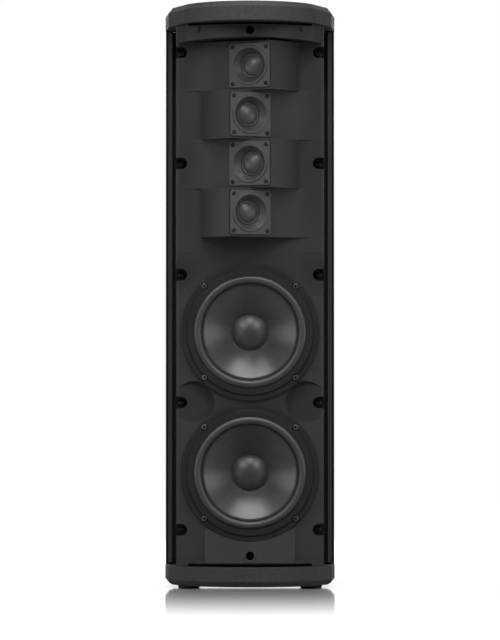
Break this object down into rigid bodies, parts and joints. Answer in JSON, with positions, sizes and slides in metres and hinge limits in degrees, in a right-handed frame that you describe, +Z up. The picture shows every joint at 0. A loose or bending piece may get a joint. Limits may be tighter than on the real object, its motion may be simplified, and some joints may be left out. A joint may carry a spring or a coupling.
{
  "type": "column pa system",
  "caption": "Tall column loudspeaker without its grille: woofers below, tweeters on stepped angled wedges above, curved end caps, rear amplifier panel.",
  "frame": {"origin": "bottom centre of the bounding box, on the floor under the middle of the cabinet", "axes": "+Z up, -Y towards the listener (front), +X to the viewer's right from the front"},
  "size_m": [0.2068, 0.23, 0.702],
  "materials": {
    "cabinet_paint": "moulded cabinet with fine-textured dark grey paint",
    "cap_plastic": "textured dark grey moulding",
    "baffle_plastic": "smooth satin dark grey moulding",
    "rail_plastic": "satin grey extrusion",
    "black_plastic": "matte black moulding",
    "basket_metal": "satin black cast frame",
    "surround_rubber": "satin black rubber",
    "cone_paper": "coated dark grey pulp",
    "dust_cap_paper": "coated dark grey dome",
    "plate_plastic": "satin mid grey face plate",
    "dome_silk": "coated cloth dome",
    "ferrite": "dark ferrite with steel plates",
    "coil_copper": "enamelled copper winding",
    "spider_cloth": "impregnated cloth",
    "screw_steel": "blackened steel",
    "light_screw": "zinc-grey steel",
    "foot_rubber": "matte black rubber",
    "foam": "closed-cell foam",
    "wadding": "white polyester wadding",
    "panel_metal": "fine black powder coat",
    "sink_aluminium": "black anodised fins",
    "socket_metal": "black coated steel",
    "insert_brass": "plain brass",
    "board_green": "solder-masked board",
    "toroid_wrap": "wrapped winding",
    "knob_plastic": "soft matte black",
    "tab_plastic": "grey moulding",
    "lead_sheath": "black sheath"
  },
  "bodies": {
    "cabinet": {"cabinet_shell": "cabinet_paint", "side_rails": "rail_plastic", "rail_end_pads": "rail_plastic", "top_cap": "cap_plastic", "bottom_cap": "cap_plastic", "cap_screws": "screw_steel", "foot_screws": "screw_steel", "rubber_feet": "foot_rubber", "front_baffle": "baffle_plastic", "baffle_gasket": "foam", "baffle_screws": "screw_steel", "pole_socket": "socket_metal", "rigging_inserts": "insert_brass", "carry_handle": "black_plastic", "acoustic_wadding": "wadding", "woofer_screws": "light_screw", "tweeter_screws": "screw_steel", "amp_panel": "panel_metal", "rear_screws": "screw_steel", "heat_sink": "sink_aluminium", "amp_board": "board_green", "board_standoffs": "insert_brass", "power_supply": "toroid_wrap", "input_jack": "black_plastic", "link_output": "black_plastic", "level_pot": "screw_steel", "mains_inlet": "black_plastic", "switch_housing": "black_plastic", "speaker_leads": "lead_sheath", "woofer_1_basket": "basket_metal", "woofer_1_magnet": "ferrite", "woofer_1_trim": "black_plastic", "woofer_1_surround": "surround_rubber", "woofer_1_spider": "spider_cloth", "woofer_2_basket": "basket_metal", "woofer_2_magnet": "ferrite", "woofer_2_trim": "black_plastic", "woofer_2_surround": "surround_rubber", "woofer_2_spider": "spider_cloth", "tweeter_1_frame": "plate_plastic", "tweeter_1_magnet": "ferrite", "tweeter_2_frame": "plate_plastic", "tweeter_2_magnet": "ferrite", "tweeter_3_frame": "plate_plastic", "tweeter_3_magnet": "ferrite", "tweeter_4_frame": "plate_plastic", "tweeter_4_magnet": "ferrite"},
    "woofer_1_cone_body": {"woofer_1_cone": "cone_paper", "woofer_1_dust_cap": "dust_cap_paper", "woofer_1_voice_coil": "coil_copper"},
    "woofer_2_cone_body": {"woofer_2_cone": "cone_paper", "woofer_2_dust_cap": "dust_cap_paper", "woofer_2_voice_coil": "coil_copper"},
    "tweeter_1_dome_body": {"tweeter_1_dome": "dome_silk"},
    "tweeter_2_dome_body": {"tweeter_2_dome": "dome_silk"},
    "tweeter_3_dome_body": {"tweeter_3_dome": "dome_silk"},
    "tweeter_4_dome_body": {"tweeter_4_dome": "dome_silk"},
    "knob": {"level_knob": "knob_plastic"},
    "rocker": {"power_rocker": "knob_plastic"},
    "tab": {"latch_tab": "tab_plastic"}
  },
  "joints": [
    {"name": "woofer_1_stroke", "type": "slide", "parent": "cabinet", "child": "woofer_1_cone_body", "axis": [0, -1, 0], "range_m": [-0.005, 0.005], "stiffness_N_per_m": 1200, "deforming": ["woofer_1_surround", "woofer_1_spider"]},
    {"name": "woofer_2_stroke", "type": "slide", "parent": "cabinet", "child": "woofer_2_cone_body", "axis": [0, -1, 0], "range_m": [-0.005, 0.005], "stiffness_N_per_m": 1200, "deforming": ["woofer_2_surround", "woofer_2_spider"]},
    {"name": "tweeter_1_stroke", "type": "slide", "parent": "cabinet", "child": "tweeter_1_dome_body", "axis": [-0.4226, -0.9063, 0], "range_m": [-0.0003, 0.0003], "stiffness_N_per_m": 100},
    {"name": "tweeter_2_stroke", "type": "slide", "parent": "cabinet", "child": "tweeter_2_dome_body", "axis": [0.4226, -0.9063, 0], "range_m": [-0.0003, 0.0003], "stiffness_N_per_m": 100},
    {"name": "tweeter_3_stroke", "type": "slide", "parent": "cabinet", "child": "tweeter_3_dome_body", "axis": [-0.4226, -0.9063, 0], "range_m": [-0.0003, 0.0003], "stiffness_N_per_m": 100},
    {"name": "tweeter_4_stroke", "type": "slide", "parent": "cabinet", "child": "tweeter_4_dome_body", "axis": [0.4226, -0.9063, 0], "range_m": [-0.0003, 0.0003], "stiffness_N_per_m": 100},
    {"name": "level_turn", "type": "hinge", "parent": "cabinet", "child": "knob", "pos_m": [-0.038, 0.106, 0.222], "axis": [0, -1, 0], "range_deg": [-150, 150]},
    {"name": "power_tip", "type": "hinge", "parent": "cabinet", "child": "rocker", "pos_m": [0.044, 0.097, 0.222], "axis": [1, 0, 0], "range_deg": [-7, 7]},
    {"name": "latch_push", "type": "slide", "parent": "cabinet", "child": "tab", "axis": [0, -1, 0], "range_m": [0, 0.0015], "stiffness_N_per_m": 150}
  ]
}
